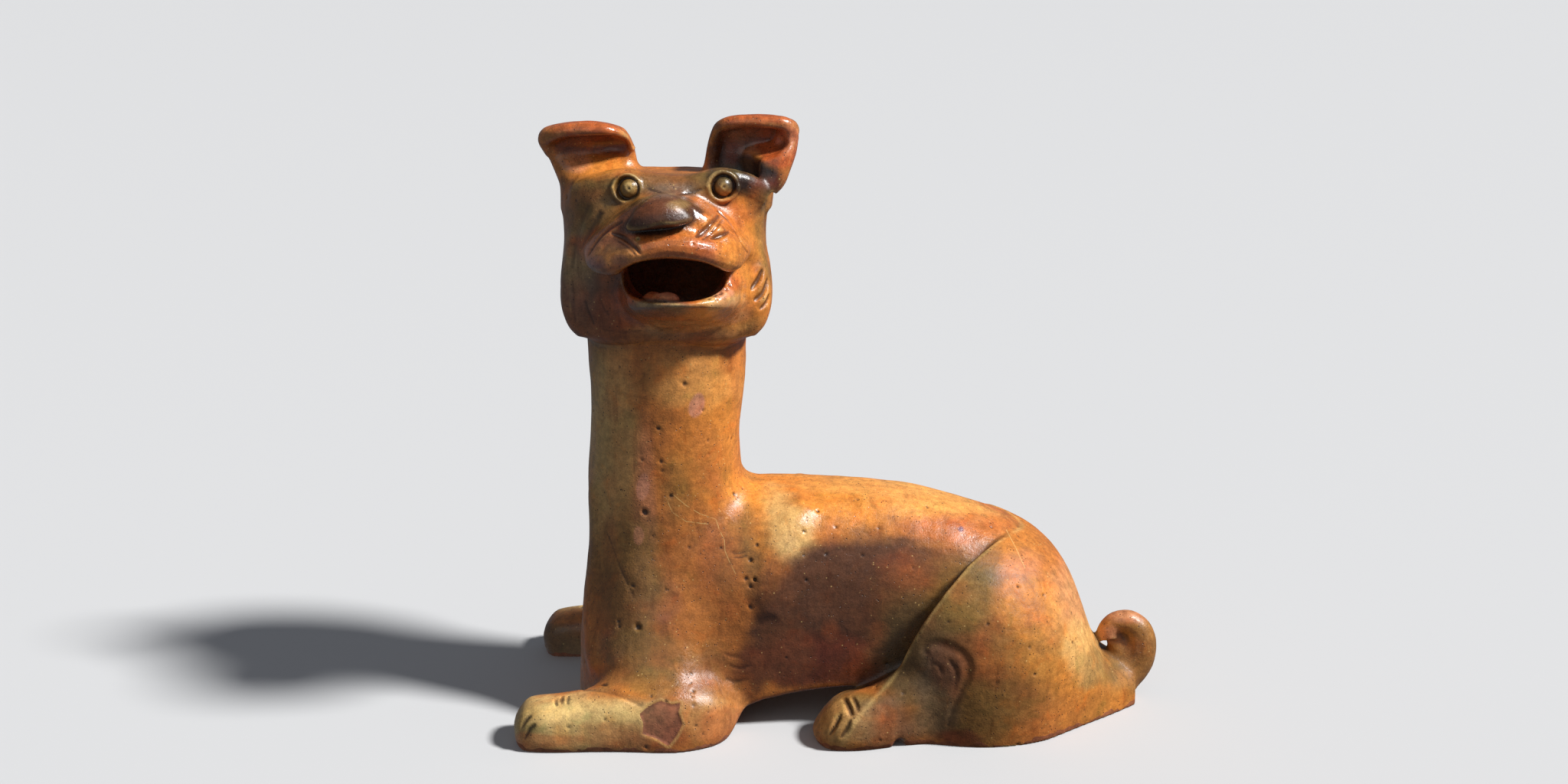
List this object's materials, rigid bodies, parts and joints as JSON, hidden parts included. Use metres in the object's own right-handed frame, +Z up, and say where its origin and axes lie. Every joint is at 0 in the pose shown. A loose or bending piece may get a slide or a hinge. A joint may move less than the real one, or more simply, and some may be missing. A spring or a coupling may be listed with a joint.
{
  "type": "animal figurine",
  "caption": "Hollow glazed earthenware figure of a reclining dog with its long neck upright, head turned to the side, mouth open, ears cupped and tail curled.",
  "frame": {"origin": "middle of the base of the bounding box, on the surface that the figure stands on", "axes": "+X along the body from the forepaws to the tail, -Y the way the turned head faces, +Z up"},
  "size_m": [0.3242, 0.1524, 0.3023],
  "materials": {
    "amber_glaze": "gloss",
    "russet_glaze": "gloss",
    "olive_glaze": "gloss",
    "straw_glaze": "gloss",
    "bare_clay": "matte"
  },
  "bodies": {
    "root": {"neck_column": "amber_glaze", "trunk_left_half": "amber_glaze", "trunk_right_half": "amber_glaze", "thigh_left": "olive_glaze", "thigh_right": "olive_glaze", "foreleg_left": "straw_glaze", "foreleg_right": "straw_glaze", "hind_foot_left": "olive_glaze", "hind_foot_right": "olive_glaze", "tail": "amber_glaze", "head_shell": "amber_glaze", "muzzle": "russet_glaze", "lower_jaw": "russet_glaze", "nose": "amber_glaze", "eye_left": "straw_glaze", "eye_right": "straw_glaze", "ear_left": "russet_glaze", "ear_right": "russet_glaze", "cheek_ruff_left": "amber_glaze", "cheek_ruff_right": "amber_glaze", "tongue": "bare_clay"}
  },
  "joints": []
}
